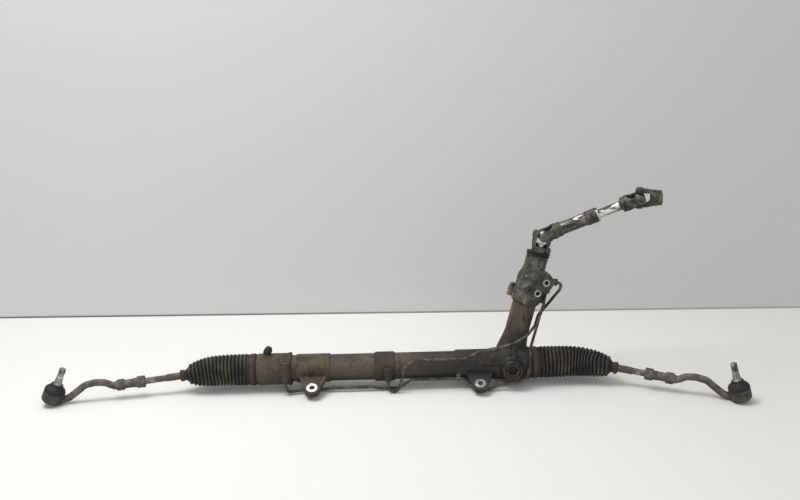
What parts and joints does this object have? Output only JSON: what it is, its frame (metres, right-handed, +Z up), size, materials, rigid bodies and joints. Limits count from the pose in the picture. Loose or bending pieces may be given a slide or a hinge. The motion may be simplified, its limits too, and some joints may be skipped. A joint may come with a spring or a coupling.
{
  "type": "steering rack",
  "caption": "Power steering rack with bellows, tie rods with curved ends, upright valve tower, pressure pipes and a jointed intermediate shaft.",
  "frame": {"origin": "centre of the bounding box's bottom, on the surface the part lies on", "axes": "+X along the rack towards the pinion end, +Y to the rear, away from the support yoke, +Z up"},
  "size_m": [1.3273, 0.1906, 0.376],
  "materials": {
    "cast_aluminium": "dirty sand-cast aluminium",
    "drawn_tube": "drawn steel tube under road dirt",
    "black_rubber": "matt black rubber, dusty in the folds",
    "bearing_plastic": "off-white bearing plastic",
    "forged_steel": "forged steel with a rusty skin",
    "machined_steel": "machined steel"
  },
  "bodies": {
    "housing": {"cylinder_tube": "drawn_tube", "cylinder_end_housing": "cast_aluminium", "breather_nipple": "machined_steel", "rack_bush": "bearing_plastic", "bulkhead_seal": "machined_steel", "left_mount_bracket": "cast_aluminium", "left_mount_bush": "machined_steel", "right_mount_bush": "machined_steel", "centre_port_collar": "cast_aluminium", "pinion_housing": "cast_aluminium", "valve_housing": "cast_aluminium", "valve_bolts": "machined_steel", "dust_seal": "black_rubber", "lower_bearing": "machined_steel", "upper_bearing": "machined_steel", "pinion_bottom_cap": "machined_steel", "support_yoke": "machined_steel", "yoke_spring": "machined_steel", "yoke_adjuster": "machined_steel", "pipe_unions": "machined_steel", "left_pipe": "machined_steel", "centre_pipe": "machined_steel", "pipe_clip": "machined_steel", "left_bellows": "black_rubber", "right_bellows": "black_rubber", "left_large_clamp": "machined_steel", "right_large_clamp": "machined_steel"},
    "rack": {"rack_bar": "machined_steel", "piston": "machined_steel", "left_inner_socket": "machined_steel", "right_inner_socket": "machined_steel"},
    "pinion": {"pinion_gear": "machined_steel", "valve_sleeve": "machined_steel", "torsion_bar": "machined_steel"},
    "input_shaft_body": {"input_shaft": "machined_steel", "lower_yoke": "forged_steel"},
    "lower_cross_body": {"lower_cross": "machined_steel"},
    "sleeve_body": {"shaft_sleeve": "forged_steel"},
    "inner_shaft_body": {"shaft_inner": "machined_steel"},
    "upper_cross_body": {"upper_cross": "machined_steel"},
    "column_yoke_body": {"column_yoke": "forged_steel"},
    "left_liner_body": {"left_inner_liner": "bearing_plastic"},
    "left_tie_rod_body": {"left_inner_tie_rod": "forged_steel", "left_lock_nut": "machined_steel", "left_small_clamp": "machined_steel"},
    "left_rod_end_body": {"left_tie_rod_end": "forged_steel", "left_outer_boot": "black_rubber"},
    "left_outer_liner_body": {"left_outer_liner": "bearing_plastic"},
    "left_stud_body": {"left_ball_stud": "machined_steel"},
    "right_liner_body": {"right_inner_liner": "bearing_plastic"},
    "right_tie_rod_body": {"right_inner_tie_rod": "forged_steel", "right_lock_nut": "machined_steel", "right_small_clamp": "machined_steel"},
    "right_rod_end_body": {"right_tie_rod_end": "forged_steel", "right_outer_boot": "black_rubber"},
    "right_outer_liner_body": {"right_outer_liner": "bearing_plastic"},
    "right_stud_body": {"right_ball_stud": "machined_steel"}
  },
  "joints": [
    {"name": "rack_slide", "type": "slide", "parent": "housing", "child": "rack", "axis": [1, 0, 0], "range_m": [-0.085, 0.065], "deforming": ["left_bellows", "right_bellows"]},
    {"name": "pinion_turn", "type": "hinge", "parent": "housing", "child": "pinion", "pos_m": [0.231, 0.05753, 0.03777], "axis": [0.2588, 0.0842, 0.9623], "range_deg": [-589, 451]},
    {"name": "torsion_twist", "type": "hinge", "parent": "pinion", "child": "input_shaft_body", "pos_m": [0.26982, 0.07016, 0.1821], "axis": [0.2588, 0.0842, 0.9623], "range_deg": [-4, 4], "stiffness_Nm_per_rad": 80},
    {"name": "lower_joint_fork", "type": "hinge", "parent": "input_shaft_body", "child": "lower_cross_body", "pos_m": [0.29726, 0.07908, 0.2841], "axis": [0.9659, -0.0226, -0.2578], "range_deg": [-15, 15]},
    {"name": "lower_joint_shaft", "type": "hinge", "parent": "lower_cross_body", "child": "sleeve_body", "pos_m": [0.29726, 0.07908, 0.2841], "axis": [-0.0417, -0.9967, -0.0691], "range_deg": [-2, 45]},
    {"name": "shaft_telescope", "type": "slide", "parent": "sleeve_body", "child": "inner_shaft_body", "axis": [0.9249, -0.0647, 0.3746], "range_m": [-0.025, 0.025]},
    {"name": "upper_joint_shaft", "type": "hinge", "parent": "inner_shaft_body", "child": "upper_cross_body", "pos_m": [0.47484, 0.06667, 0.35603], "axis": [-0.0417, -0.9967, -0.0691], "range_deg": [-20, 55]},
    {"name": "upper_joint_fork", "type": "hinge", "parent": "upper_cross_body", "child": "column_yoke_body", "pos_m": [0.47484, 0.06667, 0.35603], "axis": [0.0039, 0.069, -0.9976], "range_deg": [-30, 30]},
    {"name": "left_inner_swing", "type": "hinge", "parent": "rack", "child": "left_liner_body", "pos_m": [-0.338, 0.04, 0.0393], "axis": [0, 0, 1], "range_deg": [-35.3, 16.7]},
    {"name": "left_inner_raise", "type": "hinge", "parent": "left_liner_body", "child": "left_tie_rod_body", "pos_m": [-0.338, 0.04, 0.0393], "axis": [0.1616, -0.9869, 0], "range_deg": [-21.5, 14.5]},
    {"name": "left_toe_adjust", "type": "slide", "parent": "left_tie_rod_body", "child": "left_rod_end_body", "axis": [-0.985, -0.1613, -0.0611], "range_m": [0, 0.01]},
    {"name": "left_stud_turn", "type": "hinge", "parent": "left_rod_end_body", "child": "left_outer_liner_body", "pos_m": [-0.64335, -0.01, 0.02036], "axis": [0.4171, 0.0683, 0.9063], "continuous": true},
    {"name": "left_stud_tilt", "type": "hinge", "parent": "left_outer_liner_body", "child": "left_stud_body", "pos_m": [-0.64335, -0.01, 0.02036], "axis": [0.1616, -0.9869, 0], "range_deg": [-20, 20], "deforming": ["left_outer_boot"]},
    {"name": "right_inner_swing", "type": "hinge", "parent": "rack", "child": "right_liner_body", "pos_m": [0.369, 0.04, 0.0393], "axis": [0, 0, 1], "range_deg": [-3.8, 48.2]},
    {"name": "right_inner_raise", "type": "hinge", "parent": "right_liner_body", "child": "right_tie_rod_body", "pos_m": [0.369, 0.04, 0.0393], "axis": [0.3785, 0.9256, 0], "range_deg": [-22, 14]},
    {"name": "right_toe_adjust", "type": "slide", "parent": "right_tie_rod_body", "child": "right_rod_end_body", "axis": [0.9234, -0.3776, -0.0696], "range_m": [0, 0.01]},
    {"name": "right_stud_turn", "type": "hinge", "parent": "right_rod_end_body", "child": "right_outer_liner_body", "pos_m": [0.64047, -0.071, 0.01883], "axis": [-0.2551, 0.1043, 0.9613], "continuous": true},
    {"name": "right_stud_tilt", "type": "hinge", "parent": "right_outer_liner_body", "child": "right_stud_body", "pos_m": [0.64047, -0.071, 0.01883], "axis": [0.3785, 0.9256, 0], "range_deg": [-20, 20], "deforming": ["right_outer_boot"]}
  ],
  "couplings": [
    {"joint": "pinion_turn", "follows": "rack_slide", "rad_per_m": 120.74}
  ]
}
